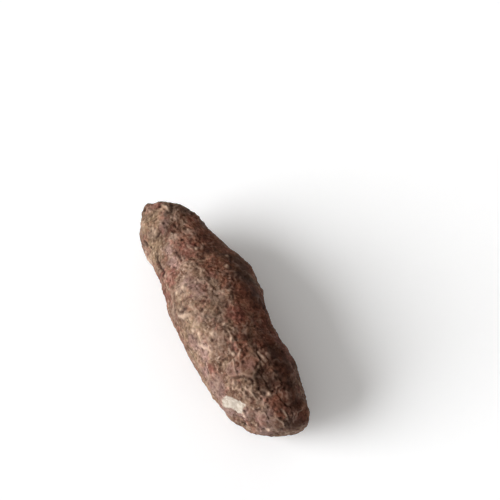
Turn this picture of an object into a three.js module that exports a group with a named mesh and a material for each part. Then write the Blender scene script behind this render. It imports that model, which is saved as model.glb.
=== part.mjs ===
// A long yam tuber, one solid, lying on a small flat spot under its belly.
// Millimetres, +Z up. +X runs from the head, where the vine sat, to the rounded tail.
// The origin is under the middle of the tuber's box, on the surface that it lies on.
import * as THREE from "three";

// ---------- Driving dimensions ----------
const LENGTH = 190; // head to tail, before the slant of the ends
// The body's reach towards -Y and towards +Y, and the heights of its top and its underside, at distances from
// the head. An underside below 0 is pressed flat: that is the spot the tuber rests on.
const STATIONS = [
  { at: 0, left: 18.5, right: 14.5, top: 46, under: 23.5 },
  { at: 10, left: 21, right: 17, top: 54, under: 14.5 },
  { at: 24, left: 28, right: 20, top: 58, under: 7 },
  { at: 42, left: 26, right: 29, top: 57, under: 3 },
  { at: 60, left: 27, right: 33, top: 60, under: 0 },
  { at: 80, left: 29, right: 33, top: 64, under: -2.5 },
  { at: 100, left: 30, right: 32, top: 65, under: -3 },
  { at: 122, left: 29, right: 32, top: 64, under: -2.8 },
  { at: 142, left: 26, right: 32, top: 62, under: -1.8 },
  { at: 158, left: 25, right: 31, top: 59, under: 1 },
  { at: 172, left: 21, right: 29, top: 54, under: 4 },
  { at: 190, left: 10, right: 30, top: 44, under: 9 },
];
// Each end: the length that rounds off, its squareness, and its slant in mm along X per mm of Y.
const HEAD = { cap: 7, power: 2, slant: 0.42 };
const TAIL = { cap: 17, power: 2.5, slant: 0.27 };
const SECTION_POWER = 2.12; // 2 would be an ellipse, more is squarer
const FLOOR_BLEND = 1; // half of the height over which the belly eases into the flat spot
const MIDDLE_LINE = [18, LENGTH - 30]; // the stretch of the long axis that relief is raised away from

// Broad unevenness of the flesh: wavelength, height, and the number that picks the pattern.
const LUMPS = [
  { size: 58, height: 0.5, seed: 1.3 },
  { size: 27, height: 0.5, seed: 4.1 },
  { size: 13, height: 0.3, seed: 2.2 },
];
const WAVES = 14; // plane waves summed for each of them

// Corky plates that stand proud of the skin, mostly towards the tail.
const PLATES = { size: 24, height: 0.6, seed: 7.7, from: 0.25, to: 0.6, start: 96, full: 140 };

// Root scars: low buttons, some with a pit in the middle. Places are mm from the head and degrees round the
// body, from 0 at +Y over 90 at the top to 180 at -Y.
const NAMED_SCARS = [
  { at: 13, angle: 95, radius: 3.4, height: 1.2, pit: 0 },
  { at: 7, angle: 150, radius: 2.6, height: -0.9, pit: 0 },
  { at: 34, angle: 165, radius: 2.6, height: -0.9, pit: 0 },
  { at: 85, angle: 130, radius: 3.5, height: 0.7, pit: 0 },
  { at: 94, angle: 80, radius: 3.6, height: 0.8, pit: 0.4 },
  { at: 101, angle: 143, radius: 4.6, height: 0.9, pit: 0.9 },
  { at: 123, angle: 122, radius: 4.4, height: 0.6, pit: 0.6 },
  { at: 130, angle: 99, radius: 3.0, height: 1.2, pit: 0 },
  { at: 170, angle: 87, radius: 3.0, height: 0.9, pit: 0 },
  { at: 3, angle: 149, radius: 5, height: 2.7, pit: 0 }, // the corner of the head
  { at: 187, angle: 356, radius: 8.0, height: 1.0, pit: 0 }, // the corner of the tail
];
const SCATTERED_SCARS = 44;
const SCATTERED_BETWEEN = [12, LENGTH - 8]; // mm from the head
const SCATTERED_TURN = 30; // degrees by which a draw moves a scar round the body
const SCAR_RADIUS = [3.4, 5];
const SCAR_HEIGHT = [0.4, 0.9];
const SCAR_CLEAR_OF_FLOOR = 9;
const SCAR_SPACING = 9; // from a named scar's middle
const PITTED_FROM = 0.55; // share of the way from the least radius to the greatest
const PIT = { share: 0.7, radius: 0.4 }; // of the scar's height, and of its radius

// Folds and crevices: each follows a path on the skin. The lip is the ridge on the side that rise points to.
const CREASES = [
  {
    path: [[47, 152], [51, 157], [56, 158], [60, 157], [64, 155], [66, 158]],
    depth: 1.6, width: 1.8, lip: 1.0, reach: 7, rise: [-0.4, -0.9, 0],
  },
  {
    path: [[35, 138], [33, 130], [32, 122]],
    depth: 0.7, width: 1.8, lip: 0.3, reach: 5, rise: [-1, 0, 0],
  },
  {
    path: [[129, 94], [132, 99], [135, 103], [139, 104], [144, 107]],
    depth: 1.0, width: 1.8, lip: 0.5, reach: 5, rise: [0, 1, 0],
  },
  {
    path: [[137, 77], [141, 80], [145, 80], [149, 84], [154, 90], [158, 96]],
    depth: 0.7, width: 1.8, lip: 0.8, reach: 6, rise: [-0.4, -0.9, 0],
  },
  {
    path: [[153, 139], [156, 124], [157, 108], [159, 101], [160, 91]],
    depth: 0.8, width: 1.8, lip: 0.4, reach: 5, rise: [-1, 0, 0],
  },
  {
    path: [[52, 20], [60, 8], [72, 4], [83, 352]],
    depth: 1.3, width: 2.2, lip: 0.8, reach: 8, rise: [1, 0, 0],
  },
  {
    path: [[120, 230], [128, 218], [140, 212]],
    depth: 1.2, width: 2.2, lip: 0.6, reach: 7, rise: [-1, 0, 0],
  },
  {
    path: [[150, 338], [158, 350], [160, 6]],
    depth: 1.0, width: 2.0, lip: 0.6, reach: 6, rise: [1, 0, 0],
  },
];

// A shallow facet where the skin has been scraped off, near the tail.
const SCRAPE = { at: 168, angle: 147, radius: 9.5, depth: 0.6 };
// The corky scar left by the vine: a dish in the head's end face.
const NECK_SCAR = { angle: 100, radius: 13, depth: 1.6 };

// Faces: rings along each stretch, and points round each ring.
const HEAD_RINGS = 8;
const BODY_RINGS = 58;
const TAIL_RINGS = 11;
const AROUND = 76;

// ---------- Small helpers ----------
const { clamp, degToRad, lerp, radToDeg, smoothstep } = THREE.MathUtils;
const GOLDEN_ANGLE = Math.PI * (3 - Math.sqrt(5));
const GOLDEN_SHARE = (Math.sqrt(5) - 1) / 2;
const fraction = (v) => v - Math.floor(v);

// A number from 0 to 1 that looks random and is the same each time.
const draw = (index, seed) => fraction(Math.sin(index * 12.9898 + seed * 78.233) * 43758.5453);

// A smooth curve through the stations' values: cubic pieces whose slopes follow the neighbours.
function slopesOf(key) {
  return STATIONS.map((station, i) => {
    const before = STATIONS[Math.max(i - 1, 0)];
    const after = STATIONS[Math.min(i + 1, STATIONS.length - 1)];
    return (after[key] - before[key]) / (after.at - before.at);
  });
}
const SLOPES = Object.fromEntries(["left", "right", "top", "under"].map((key) => [key, slopesOf(key)]));

function through(key, x) {
  let i = 0;
  while (i < STATIONS.length - 2 && x >= STATIONS[i + 1].at) i += 1;
  const [a, b] = [STATIONS[i], STATIONS[i + 1]];
  const span = b.at - a.at;
  const t = (x - a.at) / span;
  const [t2, t3] = [t * t, t * t * t];
  return (
    (2 * t3 - 3 * t2 + 1) * a[key] +
    (t3 - 2 * t2 + t) * span * SLOPES[key][i] +
    (3 * t2 - 2 * t3) * b[key] +
    (t3 - t2) * span * SLOPES[key][i + 1]
  );
}

// ---------- The body without its relief ----------
// The share of full size that a section keeps at this distance from an end.
function closing(distance, end) {
  const near = clamp(1 - distance / end.cap, 0, 1);
  return (1 - near ** end.power) ** (1 / end.power);
}

function bodyPoint(x, angle) {
  const [left, right, top, under] = ["left", "right", "top", "under"].map((key) => through(key, x));
  const size = closing(x, HEAD) * closing(LENGTH - x, TAIL);
  const squared = (v) => Math.sign(v) * Math.abs(v) ** (2 / SECTION_POWER);
  const across = ((right + left) / 2) * squared(Math.cos(angle)) * size;
  const upwards = ((top - under) / 2) * squared(Math.sin(angle)) * size;
  const slant = lerp(HEAD.slant, TAIL.slant, x / LENGTH);
  return new THREE.Vector3(x + slant * across, across + (right - left) / 2, upwards + (top + under) / 2);
}

// The way that relief is raised: away from a line down the middle that stops short of both ends.
function outward(point) {
  const x = clamp(point.x, ...MIDDLE_LINE);
  const middle = new THREE.Vector3(
    x,
    (through("right", x) - through("left", x)) / 2,
    (through("top", x) + through("under", x)) / 2,
  );
  return point.clone().sub(middle).normalize();
}

// ---------- Relief ----------
// Plane waves of about one wavelength in directions spread over a sphere, with a spread of about 1.
function waves(point, { size, seed }) {
  let sum = 0;
  for (let i = 0; i < WAVES; i += 1) {
    const rise = (i + 0.5) / WAVES;
    const level = Math.sqrt(1 - rise * rise);
    const turn = GOLDEN_ANGLE * i + seed;
    const along = point.x * level * Math.cos(turn) + point.y * level * Math.sin(turn) + point.z * rise;
    const stretch = 0.75 + 0.5 * fraction(i * GOLDEN_SHARE);
    sum += Math.sin((2 * Math.PI * along * stretch) / size + seed * (i + 1) * 1.7);
  }
  return sum / Math.sqrt(WAVES / 2);
}

function plateHeight(point) {
  const zone = smoothstep(point.x, PLATES.start, PLATES.full);
  return PLATES.height * zone * smoothstep(waves(point, PLATES), PLATES.from, PLATES.to);
}

const placed = (scar) => ({ ...scar, centre: bodyPoint(scar.at, degToRad(scar.angle)) });

// Scars spread evenly by the golden angle, each moved and sized by its own draws, and kept off the floor.
function scatteredScars() {
  const found = [];
  for (let i = 0; i < SCATTERED_SCARS; i += 1) {
    const at = lerp(...SCATTERED_BETWEEN, (i + 0.25 + 0.5 * draw(i, 1)) / SCATTERED_SCARS);
    const angle = radToDeg(GOLDEN_ANGLE * i * 2) + SCATTERED_TURN * draw(i, 2);
    const size = draw(i, 3);
    const radius = lerp(...SCAR_RADIUS, size);
    const height = lerp(...SCAR_HEIGHT, draw(i, 4));
    const scar = placed({ at, angle, radius, height, pit: size > PITTED_FROM ? PIT.share : 0 });
    const crowded = NAMED_SCARS.some((other) => placed(other).centre.distanceTo(scar.centre) < SCAR_SPACING);
    if (scar.centre.z > SCAR_CLEAR_OF_FLOOR && !crowded) found.push(scar);
  }
  return found;
}
const SCARS = [...NAMED_SCARS.map(placed), ...scatteredScars()];

// A button of the scar's radius and height, less its pit.
function scarHeight(point, { centre, radius, height, pit }) {
  const share = point.distanceTo(centre) / radius;
  if (share >= 1) return 0;
  return height * ((1 - share * share) ** 2 - pit * Math.exp(-((share / PIT.radius) ** 2)));
}

const CREASE_LINES = CREASES.map(({ path, rise, ...crease }) => ({
  ...crease,
  rise: new THREE.Vector3(...rise),
  line: path.map(([at, angle]) => bodyPoint(at, degToRad(angle))),
}));

// A groove along the line with a soft ridge on its lip side, fading with the distance from the line.
function creaseHeight(point, { line, rise, depth, width, lip, reach }) {
  const nearest = new THREE.Vector3();
  const candidate = new THREE.Vector3();
  let best = Infinity;
  for (let i = 0; i + 1 < line.length; i += 1) {
    new THREE.Line3(line[i], line[i + 1]).closestPointToPoint(point, true, candidate);
    const distance = candidate.distanceTo(point);
    if (distance < best) {
      best = distance;
      nearest.copy(candidate);
    }
  }
  const side = smoothstep(point.clone().sub(nearest).dot(rise), 0, width);
  return lip * side * Math.exp(-((best / reach) ** 2)) - depth * Math.exp(-((best / width) ** 2));
}

function dish(point, centre, radius, depth) {
  const share = point.distanceTo(centre) / radius;
  return share < 1 ? -depth * (1 - share ** 4) ** 2 : 0;
}
const SCRAPE_CENTRE = bodyPoint(SCRAPE.at, degToRad(SCRAPE.angle));
const NECK_CENTRE = bodyPoint(0, degToRad(NECK_SCAR.angle));

function relief(point) {
  let height = plateHeight(point);
  for (const lump of LUMPS) height += lump.height * waves(point, lump);
  for (const scar of SCARS) height += scarHeight(point, scar);
  for (const crease of CREASE_LINES) height += creaseHeight(point, crease);
  height += dish(point, SCRAPE_CENTRE, SCRAPE.radius, SCRAPE.depth);
  height += dish(point, NECK_CENTRE, NECK_SCAR.radius, NECK_SCAR.depth);
  return height;
}

// Height above the floor with everything below it pressed flat, and a short easing between the two.
function rested(z) {
  if (z > FLOOR_BLEND) return z;
  return z < -FLOOR_BLEND ? 0 : (z + FLOOR_BLEND) ** 2 / (4 * FLOOR_BLEND);
}

function skinPoint(x, angle) {
  const point = bodyPoint(x, angle);
  const skin = point.clone().addScaledVector(outward(point), relief(point));
  skin.z = rested(skin.z);
  return skin;
}

// ---------- The mesh ----------
// Distances from the head of the rings: evenly round each cap's curve, and evenly along the body.
function ringPlaces() {
  const roundCap = (end, rings) =>
    Array.from({ length: rings }, (_, i) => {
      const turn = ((i + 1) / rings) * (Math.PI / 2);
      return end.cap * (1 - Math.cos(turn) ** (2 / end.power));
    });
  const head = roundCap(HEAD, HEAD_RINGS);
  const tail = roundCap(TAIL, TAIL_RINGS).map((distance) => LENGTH - distance);
  const body = Array.from({ length: BODY_RINGS }, (_, i) =>
    lerp(HEAD.cap, LENGTH - TAIL.cap, (i + 1) / (BODY_RINGS + 1)),
  );
  return [...head, ...body, ...tail.reverse()];
}

function tuberGeometry() {
  const rings = ringPlaces();
  const points = [skinPoint(0, 0)];
  for (const x of rings)
    for (let j = 0; j < AROUND; j += 1) points.push(skinPoint(x, (2 * Math.PI * j) / AROUND));
  points.push(skinPoint(LENGTH, 0));

  const faces = [];
  const vertex = (ring, j) => 1 + ring * AROUND + (j % AROUND);
  const last = points.length - 1;
  for (let j = 0; j < AROUND; j += 1) {
    faces.push(0, vertex(0, j + 1), vertex(0, j));
    faces.push(last, vertex(rings.length - 1, j), vertex(rings.length - 1, j + 1));
    for (let ring = 0; ring + 1 < rings.length; ring += 1) {
      const [a, b] = [vertex(ring, j), vertex(ring, j + 1)];
      const [c, d] = [vertex(ring + 1, j), vertex(ring + 1, j + 1)];
      faces.push(a, b, d, a, d, c);
    }
  }
  const geometry = new THREE.BufferGeometry().setFromPoints(points);
  geometry.setIndex(faces);
  geometry.computeBoundingBox();
  const middle = geometry.boundingBox.getCenter(new THREE.Vector3());
  geometry.translate(-middle.x, -middle.y, 0);
  geometry.computeVertexNormals();
  return geometry;
}

// ---------- The part ----------
const skin = new THREE.MeshStandardMaterial({ color: 0x7d6050, roughness: 0.9, metalness: 0 });
const tuber = new THREE.Mesh(tuberGeometry(), skin);
tuber.name = "tuber";

const part = new THREE.Group();
part.name = "yam";
part.add(tuber);

export default part;
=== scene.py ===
"""A long yam tuber: its fine bark-like skin, and the floor, backdrop, camera and light round it.

Shapes are worked out in millimetres along the tuber, from the head at x = 0 to the tail, with z up
from the floor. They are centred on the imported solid's box, and turned to metres as they become meshes.
"""

import bpy
import numpy as np
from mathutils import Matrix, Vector


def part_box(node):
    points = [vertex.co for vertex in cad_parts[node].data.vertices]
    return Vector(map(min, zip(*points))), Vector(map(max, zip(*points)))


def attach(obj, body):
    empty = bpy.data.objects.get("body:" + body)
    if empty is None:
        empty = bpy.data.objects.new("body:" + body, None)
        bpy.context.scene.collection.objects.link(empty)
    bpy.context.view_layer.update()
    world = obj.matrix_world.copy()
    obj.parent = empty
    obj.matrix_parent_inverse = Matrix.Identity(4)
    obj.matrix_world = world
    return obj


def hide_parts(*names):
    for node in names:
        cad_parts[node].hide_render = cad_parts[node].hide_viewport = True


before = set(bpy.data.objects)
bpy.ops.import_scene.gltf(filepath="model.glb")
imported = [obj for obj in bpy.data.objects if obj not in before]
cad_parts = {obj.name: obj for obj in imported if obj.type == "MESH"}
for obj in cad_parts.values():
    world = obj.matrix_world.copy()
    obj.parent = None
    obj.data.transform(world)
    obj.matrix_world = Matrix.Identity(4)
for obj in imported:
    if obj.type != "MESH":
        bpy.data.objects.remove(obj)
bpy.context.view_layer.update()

MM = 0.001  # in metres

# ---------- The body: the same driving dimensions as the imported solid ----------
LENGTH = 190.0
# Distance from the head, then reach towards -Y, reach towards +Y, height of the top, and height of
# the underside.
STATIONS = np.array([
    [0, 18.5, 14.5, 46, 23.5],
    [10, 21, 17, 54, 14.5],
    [24, 28, 20, 58, 7],
    [42, 26, 29, 57, 3],
    [60, 27, 33, 60, 0],
    [80, 29, 33, 64, -2.5],
    [100, 30, 32, 65, -3],
    [122, 29, 32, 64, -2.8],
    [142, 26, 32, 62, -1.8],
    [158, 25, 31, 59, 1],
    [172, 21, 29, 54, 4],
    [190, 10, 30, 44, 9],
])
AT, LEFT, RIGHT, TOP, UNDER = range(5)
# Each end: the length that rounds off, its squareness, and its slant in mm along X per mm of Y.
HEAD = {"cap": 7.0, "power": 2.0, "slant": 0.42}
TAIL = {"cap": 17.0, "power": 2.5, "slant": 0.27}
SECTION_POWER = 2.12  # 2 is an ellipse, and more is squarer
FLOOR_BLEND = 1.0  # half of the height over which the belly eases into the flat spot
CORE_ENDS = (18, LENGTH - 30)  # where the middle line begins and ends that relief is raised from

# Broad unevenness of the flesh: wavelength, height, and the number that picks the pattern.
LUMPS = [(58, 0.5, 1.3), (27, 0.5, 4.1), (13, 0.3, 2.2)]
WAVES = 14  # plane waves summed for each of them
WAVE_STRETCH = (0.75, 1.25)  # the least and the most waves in a wavelength's length
WAVE_PHASE = 1.7  # how far each one starts beyond the last, per unit of the pattern's number
# Corky plates, mostly towards the tail: the pattern, its height, and where it sets in and is full.
PLATES = {"size": 24, "seed": 7.7, "height": 0.6, "start": 96, "full": 140}
PLATE_EDGE = (0.34, 0.50)  # the wave heights between which a plate's ledge rises

# Root scars: distance from the head, degrees round the body (0 at +Y, 90 at the top), radius, height,
# and the share of it that a pit takes.
NAMED_SCARS = [
    (13, 95, 3.4, 1.2, 0),
    (7, 150, 2.6, -0.9, 0),
    (34, 165, 2.6, -0.9, 0),
    (85, 130, 3.5, 0.7, 0),
    (94, 80, 3.6, 0.8, 0.4),
    (101, 143, 4.6, 0.9, 0.9),
    (123, 122, 4.4, 0.6, 0.6),
    (130, 99, 3.0, 1.2, 0),
    (170, 87, 3.0, 0.9, 0),
    (3, 149, 5.0, 2.7, 0),  # the corner of the head
    (187, 356, 8.0, 1.0, 0),  # the corner of the tail
]
SCATTERED_SCARS = 44
SCAR_ENDS = (12, LENGTH - 8)  # the stretch that they are spread over
SCAR_TURN = 30  # degrees at most that one is turned from its place
SCAR_RADIUS = (3.4, 5.0)
SCAR_HEIGHT = (0.4, 0.9)
SCAR_SPACING = 9.0  # from the named ones
SCAR_CLEAR_OF_FLOOR = 9.0
SCAR_PIT = 0.7  # its share of the height, where a scattered scar has one
SCAR_PITTED_ABOVE = 0.55  # the draw above which it has
SCAR_PIT_WIDTH = 0.4  # of the radius

# Folds and crevices: the path on the skin, depth, width, lip height, reach of the lip, and the
# direction of the lip's side.
CREASES = [
    (
        [(47, 152), (51, 157), (56, 158), (60, 157), (64, 155), (66, 158)],
        1.6, 1.8, 1.0, 7, (-0.4, -0.9, 0),
    ),
    ([(35, 138), (33, 130), (32, 122)], 0.7, 1.8, 0.3, 5, (-1, 0, 0)),
    ([(129, 94), (132, 99), (135, 103), (139, 104), (144, 107)], 1.0, 1.8, 0.5, 5, (0, 1, 0)),
    (
        [(137, 77), (141, 80), (145, 80), (149, 84), (154, 90), (158, 96)],
        0.7, 1.8, 0.8, 6, (-0.4, -0.9, 0),
    ),
    ([(153, 139), (156, 124), (157, 108), (159, 101), (160, 91)], 0.8, 1.8, 0.4, 5, (-1, 0, 0)),
    ([(52, 20), (60, 8), (72, 4), (83, 352)], 1.3, 2.2, 0.8, 8, (1, 0, 0)),
    ([(120, 230), (128, 218), (140, 212)], 1.2, 2.2, 0.6, 7, (-1, 0, 0)),
    ([(150, 338), (158, 350), (160, 6)], 1.0, 2.0, 0.6, 6, (1, 0, 0)),
]
SCRAPE = {"at": 168, "degrees": 147, "radius": 9.5, "depth": 0.6}
NECK_SCAR = {"at": 0, "degrees": 100, "radius": 13, "depth": 1.6}

# ---------- Fine skin, which only this model has ----------
# Rings over the head's cap, along the body and over the tail's cap, and the points of each ring.
HEAD_RINGS, BODY_RINGS, TAIL_RINGS, AROUND = 44, 276, 58, 262
FINER_ABOVE = 0.3  # how much closer the points lie round the top, and wider under the belly
# Sizes, heights and depths in mm.
FLOW = {"size": 9, "reach": 1.8}  # the slow drift that turns the grain
GRAIN = {"size": 3.0, "height": 0.26, "octaves": 2}
CRUMBS = {"size": 2.5, "height": 0.34, "least": 0.2, "radius": 0.62}  # the last as a share of the size
CURLS = {"size": 4.2, "height": 0.34, "width": 0.26, "patch": 8, "allowed": (0.0, 0.5)}
PITS = {"size": 3.8, "depth": 0.45, "radius": 0.95, "share": 0.45}
# Cork that lifts off in sheets: their size, height, ragged edges, and where they set in and are full.
SHEETS = {"size": 10.0, "height": 0.38, "fray": 6, "ragged": 2.4, "edge": 1.2, "start": 118, "full": 146}
LEDGE_FRAY = {"size": 4, "height": 0.12}  # unevenness of a plate's ledge
# A crease's groove, finer than on the solid: shares of its depth and width, the size and reach of its
# wandering, how blunt its ends are, and how fully it is shaded, per mm of its depth squared.
GROOVE = {"depth": 0.6, "width": 0.5, "wander": 5, "reach": 1.0, "blunt": 0.04, "shade": 0.5}
# The same for ridges and cracks, with the shade per mm.
LINE = {"wander": 4, "reach": 0.8, "blunt": 0.06, "shade": 1.4}

# Thin pale ridges, where a flake's edge has curled up: the path on the skin, height, and width.
RIDGES = [
    ([(140, 82), (144, 83), (147, 81), (149, 80)], 0.50, 0.7),
    ([(139, 79), (142, 78), (145, 76), (148, 75)], 0.55, 0.8),
    ([(148, 81), (151, 84), (154, 90), (158, 95), (160, 98)], 0.35, 0.8),
    ([(146, 123), (145, 117), (144, 111), (148, 114), (151, 115), (155, 115)], 0.40, 0.7),
    ([(139, 97), (141, 100), (144, 104)], 0.40, 0.8),
    ([(164, 103), (166, 106), (170, 108), (173, 108), (176, 111)], 0.45, 0.8),
    ([(164, 112), (166, 111)], 0.40, 0.8),
    ([(158, 123), (160, 124), (161, 127)], 0.35, 0.8),
    ([(181, 82), (184, 80), (186, 79)], 0.40, 0.8),
    ([(185, 108), (185, 100), (187, 93), (189, 97)], 0.40, 0.8),
    ([(182, 125), (181, 118), (181, 111), (183, 112)], 0.35, 0.8),
    ([(126, 145), (129, 141), (132, 136), (135, 132)], 0.60, 1.2),
    ([(97, 155), (101, 151), (104, 145), (105, 139), (105, 134)], 0.60, 1.2),
    ([(98, 130), (101, 126), (104, 125), (105, 130)], 0.30, 1.0),
    ([(97, 147), (98, 142)], 0.40, 0.9),
    ([(10.5, 103), (12.5, 98), (15, 94)], 0.85, 1.1),
    ([(33, 196), (37, 193), (41, 190), (45, 186)], 0.45, 2.6),
    ([(33, 140), (31, 134), (30, 128)], 0.30, 0.8),
    ([(113, 140), (115, 136), (113, 131), (111, 134)], 0.25, 0.9),
    ([(118, 128), (121, 124), (119, 119)], 0.25, 0.9),
    ([(84, 108), (82, 104), (84, 98), (87, 97)], 0.35, 0.9),
    ([(109, 116), (111, 113), (113, 110)], 0.30, 0.9),
    ([(58, 118), (62, 114), (67, 114)], 0.20, 0.8),
    ([(47, 101), (52, 97), (53, 91)], 0.30, 0.9),
    ([(70, 103), (73, 99), (77, 100)], 0.30, 0.9),
]
# Short dark cracks: the path on the skin, depth, and width.
CRACKS = [
    ([(46, 151), (51, 157), (56, 158), (60, 157), (64, 155), (66, 158)], 0.9, 1.4),
    ([(45, 162), (48, 171), (51, 179)], 0.3, 0.9),
    ([(141, 81), (144, 81), (147, 79)], 0.6, 0.6),
    ([(133, 106), (136, 106), (139, 107)], 0.4, 0.8),
    ([(158, 102), (161, 100)], 0.5, 0.9),
    ([(163, 99), (163, 105), (165, 109)], 0.4, 0.7),
    ([(164, 115), (168, 114)], 0.4, 0.8),
    ([(157, 118), (160, 120), (162, 125)], 0.4, 0.8),
    ([(98, 151), (100, 146), (101, 139), (100, 135)], 0.6, 0.9),
    ([(33, 162), (35, 166), (36, 170)], 0.8, 1.0),
    ([(17, 99), (18, 95), (16, 90), (13, 88)], 0.5, 1.0),
    ([(35, 140), (34, 133), (33, 126)], 0.8, 0.9),
    ([(54, 121), (58, 119), (61, 117)], 0.3, 1.2),
    ([(110, 117), (111, 113), (112, 109)], 0.4, 0.8),
    ([(86, 133), (88, 131)], 0.6, 0.8),
    ([(62, 59), (66, 60)], 0.6, 0.9),
    ([(69, 63), (73, 64)], 0.6, 0.9),
    ([(182, 77), (185, 75)], 0.5, 1.0),
    ([(180, 84), (184, 83)], 0.5, 1.0),
]
# Little round buttons, pale on top: distance from the head, degrees, radius, and height.
BUTTONS = [
    (130.5, 99.5, 1.6, 0.9), (118.5, 99, 1.4, 0.7), (170.5, 87, 1.2, 0.7), (59, 59, 1.4, 0.5),
    (70, 67, 1.6, 0.6), (93, 86, 1.5, 0.6), (92, 78, 1.4, 0.6), (84, 127, 1.6, 0.5),
    (140, 108, 1.2, 0.5), (177, 149.5, 1.3, 0.7), (179, 155, 1.2, 0.5), (188, 150, 1.6, 0.5),
    (120, 135, 1.4, 0.5), (123.5, 119, 1.5, 0.5), (116, 142, 1.3, 0.4), (85, 143, 1.3, 0.4),
    (53, 93, 1.3, 0.5),
]
# Little round pits, dark inside, in the same way, with the depth below 0.
POCKS = [
    (7.5, 151, 1.8, -0.9), (33.5, 165, 2.1, -1.0), (43.5, 103, 1.3, -0.7), (11, 110, 1.3, -0.7),
    (170, 92, 1.4, -0.7), (166.5, 96, 1.2, -0.6), (177, 143.5, 1.5, -0.9), (65, 158, 1.5, -0.9),
    (99.5, 139, 1.3, -0.6), (187, 158, 1.5, -0.7), (27, 110, 1.1, -0.6), (9, 137, 1.0, -0.5),
    (147, 101, 1.1, -0.5), (156, 66, 1.3, -0.6), (131, 95.5, 1.3, -0.7), (110.5, 115, 1.3, -0.5),
    (105, 116, 1.2, -0.4), (54, 120, 1.6, -0.4), (83, 124, 1.2, -0.4), (174.5, 145.5, 1.0, -0.6),
    (181, 183, 1.5, -0.9),
]

# Patches of the skin: corners (distance from the head, degrees).
BARE_PATCH = [
    (164.5, 166), (163.5, 151), (167, 142), (171, 134), (174, 130), (175, 139), (177, 152), (175, 158),
    (172, 159), (167.5, 169),
]
FLAKES = [
    [
        (142, 88), (145, 84), (148, 81), (151, 84), (155, 90), (160, 98), (158, 104), (155, 110),
        (148, 106), (145, 101),
    ],
    [(145, 112), (150, 114), (155, 115), (155, 125), (151, 130), (146, 123)],
    [(181, 125), (180, 118), (181, 110), (183, 113), (187, 134), (187, 146), (185, 143)],
    [(185, 118), (184, 107), (185, 98), (187, 93), (189, 97), (189, 130)],
]
PATCH_FRAY = {"size": 2.5, "reach": 0.5}  # how their outlines wander
# The mm inside an outline between which a patch sets in, and how far the fine skin is smoothed there.
BARE = {"edge": (-0.6, 0.1), "smoothed": 0.85, "depth": 0.25}
FLAKE = {"edge": (-0.5, 0.1), "smoothed": 0.5, "height": 0.55}
# The bands along a flake's outline: their place inside it, and their width. The first is a painted
# highlight just inside the edge, and the second a painted shadow just outside it.
FLAKE_RIM_HIGHLIGHT = (0.5, 0.5)
FLAKE_FOOT_SHADOW = (-0.8, 0.6)
SMALL_SCARS = {"count": 260, "radius": (1.4, 3.2), "height": (0.25, 0.65), "ends": 3, "turn": 40}
# In shares of a small scar's radius and height: its ring, how the ring rises to one side, and its pit.
SMALL_RING = {"at": 0.8, "width": 0.32, "mean": 0.45, "swing": 0.55}
SMALL_PIT = {"depth": 0.5, "width": 0.42}
# What stands out or lies deep, in mm beyond the mean of this many rings and steps on each side.
NEIGHBOURHOOD = (4, 3)
RAISED, HOLLOW = (0.02, 0.42), (0.05, 0.45)

GOLDEN_ANGLE = np.pi * (3 - np.sqrt(5))
GOLDEN_SHARE = (np.sqrt(5) - 1) / 2
LATTICE = 32  # cells after which a noise repeats
NOISE_GAIN = 1.8  # brings a noise to about +-1


# ---------- Arithmetic ----------
def smoothstep(value, low, high):
    """0 below low, 1 above high, and 3t^2 - 2t^3 between them."""
    t = np.clip((value - low) / (high - low), 0, 1)
    return t * t * (3 - 2 * t)


def draw(index, seed):
    """The fractional part of a large multiple of a sine: from 0 to 1, and the same each time."""
    value = np.sin(index * 12.9898 + seed * 78.233) * 43758.5453
    return value - np.floor(value)


def between(limits, share):
    """The value at a share of the way from the first limit to the second."""
    return limits[0] + (limits[1] - limits[0]) * share


def through(column, x):
    """A smooth curve through one column of the stations: cubics whose slopes follow the neighbours."""
    at, value = STATIONS[:, AT], STATIONS[:, column]
    before = np.maximum(np.arange(len(at)) - 1, 0)
    after = np.minimum(np.arange(len(at)) + 1, len(at) - 1)
    slope = (value[after] - value[before]) / (at[after] - at[before])
    i = np.clip(np.searchsorted(at, x, side="right") - 1, 0, len(at) - 2)
    span = at[i + 1] - at[i]
    t = (x - at[i]) / span
    from_value = (2 * t**3 - 3 * t**2 + 1) * value[i] + (t**3 - 2 * t**2 + t) * span * slope[i]
    to_value = (3 * t**2 - 2 * t**3) * value[i + 1] + (t**3 - t**2) * span * slope[i + 1]
    return from_value + to_value


def gradient_noise(points, size, seed):
    """Smooth noise of about +-1: each corner of a cubic lattice has a random slope, and a point takes
    the heights that its cell's eight slopes reach there, blended by 6t^5 - 15t^4 + 10t^3."""
    slopes = np.random.default_rng(seed).normal(size=(LATTICE, LATTICE, LATTICE, 3))
    slopes /= np.linalg.norm(slopes, axis=-1, keepdims=True)
    scaled = points / size
    cell = np.floor(scaled).astype(int)
    inside = scaled - cell
    fade = inside**3 * (inside * (inside * 6 - 15) + 10)
    total = np.zeros(points.shape[:-1])
    for corner in np.ndindex(2, 2, 2):
        slope = slopes[tuple(np.moveaxis((cell + corner) % LATTICE, -1, 0))]
        weight = np.prod(np.where(corner, fade, 1 - fade), axis=-1)
        total += weight * np.sum(slope * (inside - corner), axis=-1)
    return NOISE_GAIN * total


def fractal_noise(points, size, octaves, seed):
    """Gradient noise plus half of its height at half of its size, and so on."""
    return sum(gradient_noise(points, size / 2**k, seed + k) / 2**k for k in range(octaves))


def drift(points, size, seeds, octaves=2):
    """A push for each point, with one noise for each axis. It makes what is drawn there ragged."""
    return np.stack([fractal_noise(points, size, octaves, seed) for seed in seeds], axis=-1)


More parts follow.
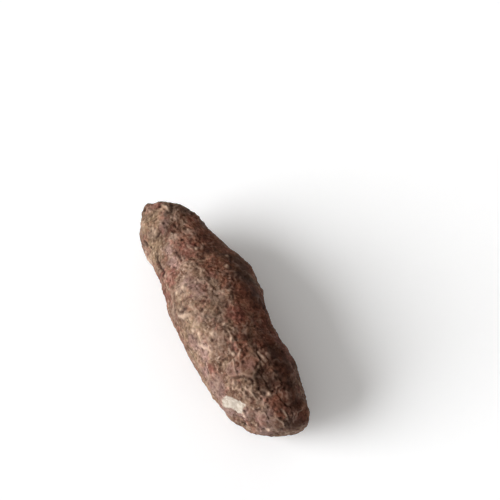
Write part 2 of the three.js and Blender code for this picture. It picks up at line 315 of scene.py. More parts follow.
def cells(points, size, seed):
    """Space split into cells round jittered lattice points: the distances to the nearest point and to
    the second nearest, and a number of each one's own from 0 to 1."""
    drawn = np.random.default_rng(seed).random((LATTICE, LATTICE, LATTICE, 4))
    scaled = points / size
    home = np.floor(scaled).astype(int)
    nearest = np.full(points.shape[:-1], np.inf)
    second = nearest.copy()
    own, others = np.zeros_like(nearest), np.zeros_like(nearest)
    for step in np.ndindex(3, 3, 3):
        cell = home + step - 1
        here = drawn[tuple(np.moveaxis(cell % LATTICE, -1, 0))]
        distance = np.linalg.norm(cell + here[..., :3] - scaled, axis=-1)
        closer, next_closer = distance < nearest, distance < second
        others = np.where(closer, own, np.where(next_closer, here[..., 3], others))
        own = np.where(closer, here[..., 3], own)
        second = np.where(closer, nearest, np.minimum(second, distance))
        nearest = np.minimum(nearest, distance)
    return nearest * size, second * size, own, others


# ---------- The body without its relief ----------
def closing(distance, end):
    """The share of full size that a section keeps at this distance from an end."""
    near = np.clip(1 - distance / end["cap"], 0, 1)
    return (1 - near ** end["power"]) ** (1 / end["power"])


def body_point(x, angle):
    """A point of a superellipse section, which the stations size, the ends close and the slant leans
    along X."""
    size = closing(x, HEAD) * closing(LENGTH - x, TAIL)
    across = (through(RIGHT, x) + through(LEFT, x)) / 2 * size
    upwards = (through(TOP, x) - through(UNDER, x)) / 2 * size
    across = across * np.sign(np.cos(angle)) * np.abs(np.cos(angle)) ** (2 / SECTION_POWER)
    upwards = upwards * np.sign(np.sin(angle)) * np.abs(np.sin(angle)) ** (2 / SECTION_POWER)
    slant = between((HEAD["slant"], TAIL["slant"]), x / LENGTH)
    middle_y = (through(RIGHT, x) - through(LEFT, x)) / 2
    middle_z = (through(TOP, x) + through(UNDER, x)) / 2
    return np.stack([x + slant * across, across + middle_y, upwards + middle_z], axis=-1)


def on_skin(at, degrees):
    """The body point at one place, given in degrees."""
    return body_point(np.float64(at), np.radians(degrees))


def outward(points):
    """The way relief is raised: away from a line down the middle that stops short of both ends."""
    x = np.clip(points[..., 0], *CORE_ENDS)
    middle_y = (through(RIGHT, x) - through(LEFT, x)) / 2
    middle_z = (through(TOP, x) + through(UNDER, x)) / 2
    away = points - np.stack([x, middle_y, middle_z], axis=-1)
    return away / np.linalg.norm(away, axis=-1, keepdims=True)


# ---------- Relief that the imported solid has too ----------
def waves(points, size, seed):
    """Plane waves of about one wavelength, in directions spread over a sphere by the golden angle."""
    total = 0
    for i in range(WAVES):
        rise = (i + 0.5) / WAVES
        level = np.sqrt(1 - rise * rise)
        turn = GOLDEN_ANGLE * i + seed
        along = points @ np.array([level * np.cos(turn), level * np.sin(turn), rise])
        stretch = between(WAVE_STRETCH, i * GOLDEN_SHARE % 1)
        total = total + np.sin(2 * np.pi * along * stretch / size + seed * (i + 1) * WAVE_PHASE)
    return total / np.sqrt(WAVES / 2)


def large_scars():
    """The named root scars, and those spread by the golden angle, each moved and sized by its draws.
    Those too near a named one or the floor are left out."""
    named = [(on_skin(at, degrees), *rest) for at, degrees, *rest in NAMED_SCARS]
    found = list(named)
    for i in range(SCATTERED_SCARS):
        at = between(SCAR_ENDS, (i + 0.25 + 0.5 * draw(i, 1)) / SCATTERED_SCARS)
        centre = on_skin(at, np.degrees(GOLDEN_ANGLE * i * 2) + SCAR_TURN * draw(i, 2))
        crowded = any(np.linalg.norm(centre - other[0]) < SCAR_SPACING for other in named)
        if centre[2] > SCAR_CLEAR_OF_FLOOR and not crowded:
            radius, rise = between(SCAR_RADIUS, draw(i, 3)), between(SCAR_HEIGHT, draw(i, 4))
            pit = SCAR_PIT if draw(i, 3) > SCAR_PITTED_ABOVE else 0
            found.append((centre, radius, rise, pit))
    return found


def distance_to_path(points, line):
    """The distance to the nearest point of a line of straight pieces, that point, and its share of
    the way along."""
    best = np.full(points.shape[:-1], np.inf)
    nearest = np.zeros_like(points)
    share_along = np.zeros_like(best)
    pieces = len(line) - 1
    for piece, (start, end) in enumerate(zip(line[:-1], line[1:])):
        along = end - start
        share = np.clip((points - start) @ along / (along @ along), 0, 1)
        candidate = start + share[..., None] * along
        distance = np.linalg.norm(points - candidate, axis=-1)
        closer = distance < best
        best = np.where(closer, distance, best)
        nearest = np.where(closer[..., None], candidate, nearest)
        share_along = np.where(closer, (piece + share) / pieces, share_along)
    return best, nearest, share_along


def dish(points, centre, radius, depth):
    """A flat-bottomed hollow: the depth times (1 - share^4)^2, with share 1 at its rim."""
    share = np.minimum(np.linalg.norm(points - centre, axis=-1) / radius, 1)
    return -depth * (1 - share**4) ** 2


# ---------- The fine skin's relief, and the masks its colours follow ----------
def bell(distance, width):
    """1 at no distance, and 1/e at the width: e to the minus square of their ratio."""
    return np.exp(-((distance / width) ** 2))


def tapered(share, blunt):
    """The strength of a line at a share of the way along it: the root of a sine, with blunt ends."""
    return np.sin(np.pi * np.clip(share, blunt, 1 - blunt)) ** 0.5


def creases(points):
    """Grooves along the paths, each tapering to its ends and with a soft ridge on its lip's side, and
    how much painted shade each point takes in them, the more the deeper they are."""
    height, groove_shade = 0, np.zeros(points.shape[:-1])
    wandered = points + GROOVE["reach"] * drift(points, GROOVE["wander"], (11, 13, 15))
    for path, depth, width, lip, reach, lip_side in CREASES:
        distance, nearest, share = distance_to_path(wandered, [on_skin(*place) for place in path])
        fine_width = GROOVE["width"] * width
        side = smoothstep((wandered - nearest) @ np.array(lip_side), 0, fine_width)
        taper = tapered(share, GROOVE["blunt"])
        narrow = taper * bell(distance, fine_width)
        height = height + lip * taper * side * bell(distance, reach) - GROOVE["depth"] * depth * narrow
        # Painted shade in the crease, darker the deeper it is.
        groove_shade = np.maximum(groove_shade, np.minimum(GROOVE["shade"] * depth**2 * narrow, 1))
    return height, groove_shade


def scars(points):
    """Large root scars: buttons less their pits, and how much of a pale corky top each point has."""
    height, top = 0, np.zeros(points.shape[:-1])
    for centre, radius, rise, pit in large_scars():
        share = np.minimum(np.linalg.norm(points - centre, axis=-1) / radius, 1)
        button = (1 - share**2) ** 2 - pit * bell(share, SCAR_PIT_WIDTH)
        height = height + rise * button
        top = np.maximum(top, np.sign(rise) * button)
    return height, top


def small_scars(points):
    """Raised rings with a pit in the middle, open on one side like a crescent, spread over the skin
    by the golden angle."""
    height = np.zeros(points.shape[:-1])
    stretch = (SMALL_SCARS["ends"], LENGTH - SMALL_SCARS["ends"])
    for i in range(SMALL_SCARS["count"]):
        at = between(stretch, (i + draw(i, 5)) / SMALL_SCARS["count"])
        centre = on_skin(at, np.degrees(GOLDEN_ANGLE * i * 3) + SMALL_SCARS["turn"] * draw(i, 6))
        radius = between(SMALL_SCARS["radius"], draw(i, 7) ** 2)
        offset = points - centre
        distance = np.linalg.norm(offset, axis=-1)
        near = distance < 2 * radius
        share = distance[near] / radius
        opening = draw(i, 8) * 2 * np.pi
        faced = offset[near] @ np.array([np.cos(opening), np.sin(opening) * 0.7, np.sin(opening) * 0.7])
        turned = faced / np.maximum(distance[near], 0.2 * radius)
        crescent = SMALL_RING["mean"] + SMALL_RING["swing"] * turned
        ring = bell(share - SMALL_RING["at"], SMALL_RING["width"]) * crescent
        ring = ring - SMALL_PIT["depth"] * bell(share, SMALL_PIT["width"])
        height[near] += between(SMALL_SCARS["height"], draw(i, 9)) * ring
    return height


def cork(points):
    """Dry granular bark: grain, round crumbs, short curled ridges along a noise's zero lines where a
    slower noise lets them be, and small pits. The masks are the ridges and the pits."""
    turned = points + FLOW["reach"] * drift(points, FLOW["size"], (21, 22, 23), octaves=1)
    height = GRAIN["height"] * fractal_noise(turned, GRAIN["size"], GRAIN["octaves"], 42)
    nearest, _, own, _ = cells(turned, CRUMBS["size"], 32)
    dome = 1 - (nearest / (CRUMBS["radius"] * CRUMBS["size"])) ** 2
    height += CRUMBS["height"] * (own + CRUMBS["least"]) * dome
    allowed = smoothstep(gradient_noise(points, CURLS["patch"], 52), *CURLS["allowed"])
    curl = allowed * bell(gradient_noise(turned, CURLS["size"], 51), CURLS["width"])
    nearest, _, own, _ = cells(points, PITS["size"], 33)
    pit = (own < PITS["share"]) * bell(nearest, PITS["radius"])
    return height + CURLS["height"] * curl - PITS["depth"] * pit, curl, pit


def sheets(points):
    """Sheets of cork that lie at different heights, with ragged steps between them, towards the tail:
    each cell has its own height, and it turns to its neighbour's over the width of an edge."""
    ragged = points + SHEETS["ragged"] * drift(points, SHEETS["fray"], (71, 74, 77))
    nearest, second, own, others = cells(ragged, SHEETS["size"], 34)
    share = 0.5 * smoothstep(second - nearest, SHEETS["edge"], 0)
    zone = smoothstep(points[..., 0], SHEETS["start"], SHEETS["full"])
    return SHEETS["height"] * zone * (own + (others - own) * share - 0.5)


def lines(points, paths, seed):
    """Narrow lines along wandering paths, tapering to their ends: their height by a bell curve, and
    their mask."""
    wandered = points + LINE["reach"] * drift(points, LINE["wander"], range(seed, seed + 6, 2))
    height, mask = 0, np.zeros(points.shape[:-1])
    for path, rise, width in paths:
        distance, _, share = distance_to_path(wandered, [on_skin(*place) for place in path])
        line = tapered(share, LINE["blunt"]) * bell(distance, width)
        height = height + rise * line
        mask = np.maximum(mask, np.minimum(LINE["shade"] * rise, 1) * line)
    return height, mask


def dots(points, spots):
    """Round dots by a bell curve of the distance: their height, and their mask."""
    height, mask = 0, np.zeros(points.shape[:-1])
    for at, degrees, radius, rise in spots:
        dot = bell(np.linalg.norm(points - on_skin(at, degrees), axis=-1), radius)
        height = height + rise * dot
        mask = np.maximum(mask, dot)
    return height, mask


def patch(points, x, degrees, corners, seed):
    """How far inside a patch each point lies, below 0 outside it, and with ragged edges: the distance
    to its outline, with the sign from the crossing rule in the plane of x and degrees."""
    ring = corners + corners[:1]
    inside = np.zeros(x.shape, bool)
    for (x1, d1), (x2, d2) in zip(ring[:-1], ring[1:]):
        crosses = (d1 > degrees) != (d2 > degrees)
        at = x1 + (degrees - d1) * (x2 - x1) / np.where(d1 == d2, 1, d2 - d1)
        inside ^= crosses & (x < at)
    distance, _, _ = distance_to_path(points, [on_skin(*place) for place in ring])
    fray = PATCH_FRAY["reach"] * fractal_noise(points, PATCH_FRAY["size"], 2, seed)
    return np.where(inside, distance, -distance) + fray


def blurred(field, rings, steps):
    """The mean over a square of the grid, done along the rings and then across them."""
    across = sum(np.roll(field, k, axis=1) for k in range(-steps, steps + 1)) / (2 * steps + 1)
    padded = np.pad(across, ((rings, rings), (0, 0)), mode="edge")
    total = np.cumsum(np.pad(padded, ((1, 0), (0, 0))), axis=0)
    return (total[2 * rings + 1 :] - total[: -2 * rings - 1]) / (2 * rings + 1)


def skin_relief(points, x, degrees):
    """All relief along the outward direction, in millimetres, and the masks from 0 to 1 that the
    colours follow."""
    broad = sum(height * waves(points, size, seed) for size, height, seed in LUMPS)
    fray = LEDGE_FRAY["height"] * gradient_noise(points, LEDGE_FRAY["size"], 43)
    plate = smoothstep(waves(points, PLATES["size"], PLATES["seed"]) + fray, *PLATE_EDGE)
    plate = smoothstep(points[..., 0], PLATES["start"], PLATES["full"]) * plate
    crease_height, groove_shade = creases(points)
    scar_height, scar_top = scars(points)
    cork_height, curl, pit = cork(points)
    ridge_height, ridge = lines(points, RIDGES, 81)
    crack_depth, crack = lines(points, CRACKS, 91)
    button_height, button = dots(points, BUTTONS)
    pock_depth, pock = dots(points, POCKS)
    bare = smoothstep(patch(points, x, degrees, BARE_PATCH, 44), *BARE["edge"])
    in_flake = np.maximum.reduce([patch(points, x, degrees, corners, 45) for corners in FLAKES])
    flake = smoothstep(in_flake, *FLAKE["edge"])
    fine = (cork_height + small_scars(points)) * (1 - BARE["smoothed"] * bare)
    fine = fine * (1 - FLAKE["smoothed"] * flake)
    hollows = sum(
        dish(points, on_skin(spot["at"], spot["degrees"]), spot["radius"], spot["depth"])
        for spot in (SCRAPE, NECK_SCAR)
    )
    drawn = ridge_height - crack_depth + button_height + pock_depth
    named = crease_height + scar_height + drawn + FLAKE["height"] * flake - BARE["depth"] * bare
    height = broad + PLATES["height"] * plate + sheets(points) * (1 - flake) + named + fine + hollows
    local = height - blurred(height, *NEIGHBOURHOOD)
    masks = {
        # Painted shade in creases, cracks and round pocks.
        "groove_shade": np.maximum.reduce([groove_shade, crack, pock]),
        "pit": pit * (1 - bare),
        "ridge": np.maximum(ridge, button),
        "curl": curl * (1 - bare) * (1 - flake),
        "raised": smoothstep(local, *RAISED),
        "hollow": smoothstep(-local, *HOLLOW),
        "flake": flake,
        # A painted highlight just inside a flake's edge, and a painted shadow just outside it.
        "rim": bell(in_flake - FLAKE_RIM_HIGHLIGHT[0], FLAKE_RIM_HIGHLIGHT[1]),
        "flake_foot_shadow": bell(in_flake - FLAKE_FOOT_SHADOW[0], FLAKE_FOOT_SHADOW[1]),
        "scar_top": np.clip(scar_top, 0, 1),
        "bare": bare,
    }
    return height, masks


def rested(z):
    """Height above the floor: all below it is pressed flat, with a short easing between the two."""
    eased = (z + FLOOR_BLEND) ** 2 / (4 * FLOOR_BLEND)
    return np.where(z > FLOOR_BLEND, z, np.where(z < -FLOOR_BLEND, 0, eased))


# ---------- Tints: places where the skin is another colour, some of them painted shade and painted light ---
# Each tint's spots: distance from the head, degrees round the body, and radius in mm.
TINTS = {
    "rust": [
        (22, 60, 8), (29, 71, 6), (40, 62, 14), (40, 100, 6), (40, 300, 16), (45, 74, 9), (50, 86, 7),
        (56, 84, 6), (57, 72, 10), (60, 45, 20), (60, 186, 6), (68, 84, 9), (76, 62, 14), (84, 66, 12),
        (88, 76, 6), (98, 68, 7), (100, 40, 20), (113, 82, 7), (119, 81, 6), (120, 240, 18),
        (124, 50, 12), (128, 86, 6), (140, 74, 8), (140, 97, 7), (141, 88, 5), (146, 86, 6),
        (147, 104, 6), (148, 92, 5), (150, 48, 14), (171, 71, 8), (174, 72, 11), (180, 80, 9),
        (183, 45, 9),
    ],
    "red": [
        (6, 140, 4), (8, 131, 5), (9, 116, 5), (32, 118, 3), (50, 103, 6), (56, 111, 8), (64, 156, 4),
        (64, 172, 5), (68, 139, 6), (70, 260, 14), (72, 182, 6), (73, 146, 4), (79, 168, 5),
        (80, 179, 6), (84, 160, 5), (111, 83, 7), (130, 20, 14), (137, 106, 3), (144, 152, 4),
    ],
    "olive": [
        (13, 150, 7), (22, 133, 11), (30, 230, 14), (36, 147, 8), (46, 160, 8), (54, 149, 5),
        (57, 70, 7), (58, 40, 9), (74, 46, 9), (91, 144, 8), (102, 134, 7), (106, 101, 6),
        (113, 145, 9), (120, 138, 8), (128, 168, 8), (150, 205, 16),
    ],
    "lilac": [
        (28, 112, 5), (50, 126, 4), (61, 131, 6), (82, 118, 5), (89, 115, 7), (122, 152, 8),
        (128, 250, 14), (133, 145, 8), (142, 162, 6), (150, 98, 5), (150, 119, 6), (157, 158, 10),
        (170, 170, 9), (177, 150, 8), (183, 120, 8), (188, 168, 7),
    ],
    # Soil stains, and painted shade on the right side towards the tail, where shade falls.
    "umber_stain_and_shade": [
        (12, 85, 3), (20, 240, 8), (30, 350, 8), (45, 5, 7), (56, 84, 4), (57, 59, 5), (57, 113, 4),
        (60, 300, 9), (64, 156, 3), (67, 47, 11), (78, 44, 9), (78, 58, 8), (80, 210, 7), (92, 41, 9),
        (98, 36, 7), (112, 290, 12), (124, 87, 3), (128, 86, 3), (130, 200, 6), (141, 88, 6),
        (142, 60, 11), (145, 250, 10), (148, 62, 9), (151, 51, 10), (156, 84, 4), (159, 66, 8),
        (160, 320, 8), (165, 58, 8), (165, 78, 6), (177, 53, 4), (180, 64, 7), (188, 58, 9),
    ],
    # Pale chalky patches, and painted light on places that face away from the key lamp.
    "chalk_and_painted_light": [
        (10, 120, 3), (19, 92, 6), (19, 103, 7), (24, 64, 6), (29, 71, 7), (30, 140, 6), (34, 76, 8),
        (38, 188, 8), (42, 116, 6), (43, 184, 6), (44, 108, 6), (48, 134, 6), (60, 230, 10),
        (61, 131, 5), (78, 86, 4), (84, 132, 9), (86, 100, 8), (95, 156, 7), (96, 95, 7), (102, 138, 9),
        (104, 62, 6), (105, 98, 6), (110, 124, 7), (113, 104, 5), (125, 117, 5), (129, 136, 8),
        (137, 107, 6), (146, 86, 5), (152, 92, 7), (170, 40, 6), (174, 94, 5), (180, 130, 5),
        (183, 120, 7),
    ],
    # Painted shade, most of all along the lower left flank and round the head, with some soil stain.
    "earth_stain_and_shade": [
        (2, 178, 9), (4, 108, 6), (6, 140, 8), (9, 116, 5), (12, 188, 10), (22, 174, 10), (24, 196, 6),
        (28, 112, 5), (32, 118, 6), (33, 144, 6), (40, 100, 6), (47, 80, 7), (50, 86, 6), (50, 195, 8),
        (54, 149, 6), (56, 84, 6), (59, 148, 6), (60, 193, 9), (63, 172, 9), (72, 191, 9), (75, 107, 4),
        (76, 176, 8), (82, 118, 5), (84, 150, 9), (84, 160, 6), (84, 190, 8), (88, 76, 5),
        (94, 162, 12), (100, 140, 9), (113, 84, 5), (125, 108, 7), (128, 86, 5), (128, 114, 6),
        (140, 98, 6), (148, 106, 7), (157, 158, 8), (165, 88, 11), (172, 60, 10), (178, 84, 10),
        (187, 62, 8),
    ],
}
# The shares of a spot's radius between which it fades. The stains that also paint shade have softer edges
# than the skin's own.
TINT_FADE = (0.45, 1.2)
STAIN_AND_SHADE_FADE = (0.05, 1.5)
STAIN_AND_SHADE_TINTS = ("umber_stain_and_shade", "earth_stain_and_shade")
# How a spot's edge is pushed about: the size and reach of a broad drift and of a fine one.
TINT_DRIFT = [(8, 3.0), (2.6, 1.4)]
TINT_SEED = 100


def tint_mask(points, spots, seed, fade):
    """How near each point is to the spots: 1 in a spot's middle, and fading to 0 at its ragged edge."""
    ragged = points
    for k, (size, reach) in enumerate(TINT_DRIFT):
        ragged = ragged + reach * drift(points, size, range(seed + 3 * k, seed + 3 * k + 3), octaves=1)
    mask = np.zeros(points.shape[:-1])
    for at, degrees, radius in spots:
        distance = np.linalg.norm(ragged - on_skin(at, degrees), axis=-1)
        mask = np.maximum(mask, 1 - smoothstep(distance, fade[0] * radius, fade[1] * radius))
    return mask


def tint_masks(points):
    """A mask for each tint. Its edge takes noises of its own, three for each drift."""
    masks = {}
    for k, (tint, spots) in enumerate(TINTS.items()):
        fade = STAIN_AND_SHADE_FADE if tint in STAIN_AND_SHADE_TINTS else TINT_FADE
        masks[tint] = tint_mask(points, spots, TINT_SEED + 3 * len(TINT_DRIFT) * k, fade)
    return masks


# ---------- Meshes ----------
def ring_places():
    """Distances of the rings from the head: even steps round each cap's curve, and even steps along
    the body."""
    def round_cap(end, rings):
        """Distances from an end, by the powered cosine that closes it."""
        turn = np.arange(1, rings + 1) / rings * np.pi / 2
        return end["cap"] * (1 - np.cos(turn) ** (2 / end["power"]))

    body = np.linspace(HEAD["cap"], LENGTH - TAIL["cap"], BODY_RINGS + 2)[1:-1]
    tail = LENGTH - round_cap(TAIL, TAIL_RINGS)[::-1]
    return np.concatenate([round_cap(HEAD, HEAD_RINGS), body, tail])


def mesh_object(name, vertices, faces, attributes=None):
    """A smooth mesh object from points in millimetres, with a value at each point for each attribute."""
    mesh = bpy.data.meshes.new(name)
    mesh.from_pydata((np.asarray(vertices) * MM).tolist(), [], faces)
    mesh.polygons.foreach_set("use_smooth", np.ones(len(mesh.polygons), bool))
    for key, values in (attributes or {}).items():
        layer = mesh.attributes.new(key, "FLOAT", "POINT")
        layer.data.foreach_set("value", np.asarray(values, np.float32).ravel())
    mesh.update()
    made = bpy.data.objects.new(name, mesh)
    bpy.context.scene.collection.objects.link(made)
    return made


def skin_piece():
    """The whole skin as rings of points closed by a point at each end, centred on the solid's box."""
    x = np.concatenate([[0.0], ring_places(), [LENGTH]])
    turn = np.linspace(0, 2 * np.pi, AROUND, endpoint=False)
    places, angles = np.meshgrid(x, turn + FINER_ABOVE * np.cos(turn), indexing="ij")
    smooth = body_point(places, angles)
    height, masks = skin_relief(smooth, places, np.degrees(angles) % 360)
    masks.update(tint_masks(smooth))
    points = smooth + outward(smooth) * height[..., None]
    points[..., 2] = rested(points[..., 2])

    low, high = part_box("tuber")
    grid = points.reshape(-1, 3)
    shift = np.array((low + high) / 2) / MM - (grid.min(axis=0) + grid.max(axis=0)) / 2
    shift[2] = low.z / MM
    points = points + shift

    def closed(field):
        """The grid without the repeats of its first and last point."""
        rows = field[1:-1].reshape(-1, *field.shape[2:])
        return np.concatenate([field[0, :1], rows, field[-1, :1]])

    def corner(of_ring, at_step):
        """The number of a ring's point, after the single one at the head."""
        return 1 + of_ring * AROUND + at_step % AROUND

    last_ring = len(x) - 3
    ring, step = np.meshgrid(np.arange(last_ring), np.arange(AROUND), indexing="ij")
    quads = [corner(ring + r, step + s) for r, s in ((0, 0), (0, 1), (1, 1), (1, 0))]
    around = np.arange(AROUND)
    tail_point = corner(last_ring + 1, 0)
    head_fan = [np.zeros(AROUND, int), corner(0, around + 1), corner(0, around)]
    tail_fan = [np.full(AROUND, tail_point), corner(last_ring, around), corner(last_ring, around + 1)]
    faces = np.stack(quads, axis=-1).reshape(-1, 4).tolist()
    for fan in (head_fan, tail_fan):
        faces += np.stack(fan, axis=-1).tolist()
    attributes = {key: closed(value) for key, value in masks.items()}
    return mesh_object("tuber_skin", closed(points), faces, attributes)


# ---------- Materials ----------
def linear(hex_colour):
    """An sRGB hex colour as linear red, green, blue and alpha."""
    channels = np.array([int(hex_colour[k : k + 2], 16) / 255 for k in (1, 3, 5)])
    low = channels / 12.92
    high = ((channels + 0.055) / 1.055) ** 2.4
    return (*np.where(channels <= 0.04045, low, high), 1.0)


def add(tree, kind, inputs=None, **settings):
    """Adds one shader node: its settings by name, and its inputs by name or number, each a value or a
    socket to link."""
    made = tree.nodes.new("ShaderNode" + kind)
    for name, value in settings.items():
        setattr(made, name, value)
    for key, value in (inputs or {}).items():
        if isinstance(value, bpy.types.NodeSocket):
            tree.links.new(value, made.inputs[key])
        else:
            made.inputs[key].default_value = value
    return made


def new_material(name):
    """A material with an empty node tree but for its shader and output."""
    material = bpy.data.materials.new(name)
    material.use_nodes = True
    tree = material.node_tree
    return material, tree, tree.nodes["Principled BSDF"]


MIX_FACTOR, MIX_A, MIX_B, MIX_RESULT = 0, 6, 7, 2  # sockets of a Mix node set to colour
# The floor's own glow is painted light, and its dimming near things is a painted contact shadow.
GLOW = {"reach": 80.0, "strength": 0.31}  # of the floor: the mm within which a thing dims it


def cork_skin():
    """Yam periderm: dry cork that grew, cracked and was dusted with dirt. Nearly matte and warm brown,
    with pale scurf on what stands out, darker where it lies deep, and patches of the tints, some of which
    are painted shade and painted light."""
    material, tree, shader = new_material("yam_periderm")
    place = add(tree, "TexCoord").outputs["Object"]

    def noise(size_mm, detail, roughness, low, high, warp=0.0):
        """A noise of one grain size, cut to 0 below low and to 1 above high."""
        grain = {"Vector": place, "Scale": 1 / (size_mm * MM), "Detail": detail}
        made = add(tree, "TexNoise", {**grain, "Roughness": roughness, "Distortion": warp})
        cut = {"Value": made.outputs["Fac"], "From Min": low, "From Max": high}
        return add(tree, "MapRange", cut, interpolation_type="SMOOTHSTEP").outputs["Result"]

    def times(first, second):
        """The product of two masks, either of them a number."""
        product = add(tree, "Math", {0: first, 1: second}, operation="MULTIPLY", use_clamp=True)
        return product.outputs["Value"]

    def mask(name):
        """A mask that the skin carries as an attribute."""
        return add(tree, "Attribute", attribute_name=name).outputs["Fac"]

    def crumbs(size_mm, wander_mm, low, high):
        """Rounded crumbs of one size, a wander off their grid. A crumb shows if its own random number
        lies above low, and fully from high on."""
        slow = add(tree, "TexNoise", {"Vector": place, "Scale": 0.7 / (size_mm * MM), "Detail": 2.0})
        push = {0: slow.outputs["Color"], 1: (wander_mm * MM,) * 3, 2: place}
        moved = add(tree, "VectorMath", push, operation="MULTIPLY_ADD").outputs["Vector"]
        grid = add(tree, "TexVoronoi", {"Vector": moved, "Scale": 1 / (size_mm * MM)})
        own = add(tree, "SeparateColor", {"Color": grid.outputs["Color"]}).outputs["Red"]
        dome = {"Value": grid.outputs["Distance"], "From Min": 0.66, "From Max": 0.12}
        chosen = {"Value": own, "From Min": low, "From Max": high}
        return times(*(add(tree, "MapRange", spread).outputs["Result"] for spread in (dome, chosen)))

    # Each noise: grain size in mm, detail, roughness, and the values between which it sets in.
    clouds = noise(24, 4, 0.55, 0.38, 0.62)
    blotches = noise(7, 5, 0.62, 0.40, 0.64)
    scurf = noise(3.0, 5, 0.68, 0.44, 0.60, warp=0.6)
    fleck = noise(2.2, 3, 0.55, 0.52, 0.68, warp=0.4)
    dirt = noise(2.5, 3, 0.58, 0.52, 0.68, warp=0.4)
    pinks = noise(6.5, 4, 0.6, 0.48, 0.64)
    greens = noise(8.5, 4, 0.6, 0.48, 0.64)
    worn = noise(9, 3, 0.5, 0.49, 0.62, warp=0.5)
    damp = noise(12, 3, 0.5, 0.50, 0.63, warp=0.5)
    pale_crumbs = crumbs(2.3, 1.9, 0.55, 0.90)
    dark_crumbs = crumbs(2.1, 1.7, 0.60, 0.95)
    raised, hollow, groove_shade = mask("raised"), mask("hollow"), mask("groove_shade")

    # Each layer of colour, from the bottom up: its hue, and the mask that lets it show.
    coats = [
        ("#604639", clouds),
        ("#6b5546", times(blotches, 0.60)),
        ("#95806d", times(worn, 0.42)),
        ("#806756", times(scurf, 0.50)),
        ("#703c28", times(mask("rust"), 0.38)),
        ("#6f3c32", times(mask("red"), 0.35)),
        ("#766a52", times(mask("olive"), 0.40)),
        ("#80665f", times(mask("lilac"), 0.55)),
        # Pale chalky patches, some of them painted light on the shaded side.
        ("#948175", times(mask("chalk_and_painted_light"), 0.70)),
        ("#8a7160", times(scurf, 0.30)),
        ("#988270", times(times(raised, scurf), 0.60)),
        ("#a79483", times(fleck, 0.56)),
        ("#b5a193", times(pale_crumbs, 0.65)),
    ]
    glazes = [
        ("#9a5c50", times(pinks, 0.46)),
        ("#8c7963", times(greens, 0.36)),
        ("#8a4c36", times(mask("rust"), 0.48)),
        ("#8f554e", times(mask("red"), 0.52)),
        ("#8a7860", times(mask("olive"), 0.28)),
        ("#8e7574", times(mask("lilac"), 0.48)),
    ]
    # Dirt, darker hollows, and two tints that are soil stains and painted shade.
    soil_and_shade = [
        ("#32170c", times(damp, 0.38)),
        ("#321a0f", times(dirt, 0.66)),
        ("#30180d", times(dark_crumbs, 0.60)),
        ("#331b11", times(hollow, 0.55)),
        ("#351f17", times(mask("earth_stain_and_shade"), 0.42)),
        ("#29140c", times(mask("umber_stain_and_shade"), 0.74)),
    ]
    marks = [
        ("#644739", times(mask("flake"), 0.38)),
        # A painted shadow just outside each flake, and a painted highlight just inside its edge.
        ("#27150e", times(mask("flake_foot_shadow"), 0.18)),
        ("#9d877a", times(mask("rim"), 0.28)),
        ("#8d7461", times(mask("scar_top"), 0.35)),
        ("#a69082", times(mask("curl"), 0.38)),
        ("#24120b", times(mask("pit"), 0.55)),
        # Painted shade in creases, cracks and round pocks.
        ("#1f0b07", times(groove_shade, 0.90)),
        ("#c2ae9c", times(mask("ridge"), 0.75)),
        ("#99938a", mask("bare")),
        ("#b9b3aa", times(times(mask("bare"), scurf), 0.75)),
        ("#6f5c4c", times(times(mask("bare"), dark_crumbs), 0.45)),
    ]
    colour = linear("#4c2f23")
    layers = [("MIX", coats), ("COLOR", glazes), ("MIX", soil_and_shade + marks)]
    for blend, hex_colour, amount in [(blend, *coat) for blend, group in layers for coat in group]:
        inputs = {MIX_FACTOR: amount, MIX_A: colour, MIX_B: linear(hex_colour)}
        colour = add(tree, "Mix", inputs, data_type="RGBA", blend_type=blend).outputs[MIX_RESULT]
    tree.links.new(colour, shader.inputs["Base Color"])

    # Dry cork scatters nearly all of its gloss, most of all where it is scurfy.
    rough = {"Value": scurf, "To Min": 0.78, "To Max": 0.95}
    tree.links.new(add(tree, "MapRange", rough).outputs["Result"], shader.inputs["Roughness"])
    shader.inputs["IOR"].default_value = 1.45
    shader.inputs["Specular IOR Level"].default_value = 0.25

    # Dust and scurf, finer than the mesh.
    scurf_crust = {"Height": scurf, "Strength": 0.38, "Distance": 0.45 * MM}
    crust = add(tree, "Bump", scurf_crust).outputs["Normal"]
    grains = add(tree, "Math", {0: pale_crumbs, 1: fleck}, operation="ADD").outputs["Value"]
    flecks = {"Height": grains, "Strength": 0.35, "Distance": 0.30 * MM, "Normal": crust}
    tree.links.new(add(tree, "Bump", flecks).outputs["Normal"], shader.inputs["Normal"])
    return material


def speckled(tree, socket, size_mm, detail, first, second):
    """Lets a shader's colour wander between two hex colours, in spots of one size."""
    place = add(tree, "TexCoord").outputs["Object"]
    spots = add(tree, "TexNoise", {"Vector": place, "Scale": 1 / (size_mm * MM), "Detail": detail})
    inputs = {MIX_FACTOR: spots.outputs["Fac"], MIX_A: linear(first), MIX_B: linear(second)}
    tree.links.new(add(tree, "Mix", inputs, data_type="RGBA").outputs[MIX_RESULT], socket)


def matte_paper():
    """A sheet of matte white paper with fibres of about 4 mm. It gives off a little light of its own, as
    a light table would, which is painted light, and less of it where something stands near, which paints
    a soft contact shadow."""
    material, tree, shader = new_material("matte_paper")
    speckled(tree, shader.inputs["Base Color"], 4, 4.0, "#ecf2f9", "#f0f6fd")
    shader.inputs["Roughness"].default_value = 0.9
    shader.inputs["Emission Color"].default_value = linear("#ebfbff")
    # Dimmed where something stands near: a painted contact shadow.
    open_share = add(tree, "AmbientOcclusion", {"Distance": GLOW["reach"] * MM}, samples=16).outputs["AO"]
    glow = add(tree, "Math", {0: open_share, 1: GLOW["strength"]}, operation="MULTIPLY").outputs["Value"]
    tree.links.new(glow, shader.inputs["Emission Strength"])
    return material


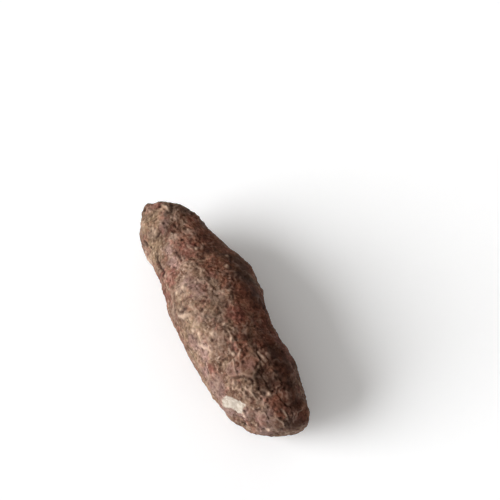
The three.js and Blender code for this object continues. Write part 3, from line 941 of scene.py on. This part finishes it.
def white_plaster():
    """A white studio wall, painted by hand and evenly lit."""
    material, tree, shader = new_material("white_plaster")
    speckled(tree, shader.inputs["Emission Color"], 900, 1.0, "#fafafb", "#ffffff")
    shader.inputs["Emission Strength"].default_value = 1.0
    shader.inputs["Base Color"].default_value = linear("#000000")
    shader.inputs["Roughness"].default_value = 1.0
    return material


# ---------- Pieces ----------
skin = skin_piece()
skin.data.materials.append(cork_skin())
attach(skin, "root")
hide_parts("tuber")

# ---------- Floor and backdrop ----------
FLOOR_REACH = 3000.0
WALL = {"radius": 0.98 * FLOOR_REACH, "height": 4000.0, "steps": 64}


def paper_floor():
    """A square sheet that lies at z = 0 and reaches the same way out on each side."""
    corners = [(x * FLOOR_REACH, y * FLOOR_REACH, 0) for x, y in ((-1, -1), (1, -1), (1, 1), (-1, 1))]
    floor = mesh_object("floor", corners, [(0, 1, 2, 3)])
    floor.data.materials.append(matte_paper())
    return floor


def backdrop_wall():
    """A round white wall near the floor's edge, which the eye sees and the light passes."""
    turn = np.linspace(0, 2 * np.pi, WALL["steps"], endpoint=False)
    ring = WALL["radius"] * np.stack([np.cos(turn), np.sin(turn), np.zeros_like(turn)], axis=-1)
    step = np.arange(WALL["steps"])
    after = (step + 1) % WALL["steps"]
    faces = np.stack([step, step + WALL["steps"], after + WALL["steps"], after], axis=-1)
    wall = mesh_object("backdrop", np.concatenate([ring, ring + [0, 0, WALL["height"]]]), faces.tolist())
    wall.visible_diffuse = wall.visible_glossy = wall.visible_shadow = False
    wall.data.materials.append(white_plaster())
    return wall


floor = paper_floor()
backdrop_wall()

# ---------- Camera ----------
VIEW_ELEVATION, VIEW_AZIMUTH = np.radians(60), np.radians(67)
VIEW_DISTANCE = 0.85  # metres
AIM = Vector((-0.0387, 0.0387, 0.033))  # beside the tuber, which lies low and left in the view
LENS, SENSOR = 85.0, 36.0
view_back = Vector((
    np.sin(VIEW_AZIMUTH) * np.cos(VIEW_ELEVATION),
    -np.cos(VIEW_AZIMUTH) * np.cos(VIEW_ELEVATION),
    np.sin(VIEW_ELEVATION),
))
view_right = Vector((np.cos(VIEW_AZIMUTH), np.sin(VIEW_AZIMUTH), 0))
view_up = view_back.cross(view_right)

camera = bpy.data.objects.new("camera", bpy.data.cameras.new("camera"))
camera.data.lens, camera.data.sensor_width = LENS, SENSOR
camera.location = AIM + VIEW_DISTANCE * view_back
camera.rotation_euler = view_back.to_track_quat("Z", "Y").to_euler()
bpy.context.scene.collection.objects.link(camera)
bpy.context.scene.camera = camera


# ---------- Light ----------
def soft_light(name, right, up, back, spread_degrees, strength, colour):
    """A lamp as wide as a sky panel, from a direction given in the view's right, up and back."""
    towards = (right * view_right + up * view_up + back * view_back).normalized()
    lamp = bpy.data.objects.new(name, bpy.data.lights.new(name, "SUN"))
    lamp.data.angle = np.radians(spread_degrees)
    lamp.data.energy = strength
    lamp.data.color = linear(colour)[:3]
    lamp.rotation_euler = towards.to_track_quat("Z", "Y").to_euler()
    bpy.context.scene.collection.objects.link(lamp)


soft_light("key", right=-0.90, up=0.00, back=0.42, spread_degrees=50, strength=5.8, colour="#fffaf5")
soft_light("fill", right=-0.35, up=-0.25, back=0.85, spread_degrees=70, strength=0.5, colour="#fff8f2")
soft_light("far", right=0.22, up=0.92, back=-0.30, spread_degrees=60, strength=0.5, colour="#fff0e2")

world = bpy.data.worlds.new("studio")
world.use_nodes = True
world.node_tree.nodes["Background"].inputs["Color"].default_value = linear("#ffb68a")
world.node_tree.nodes["Background"].inputs["Strength"].default_value = 0.11
bpy.context.scene.world = world
bpy.context.scene.view_settings.view_transform = "Standard"
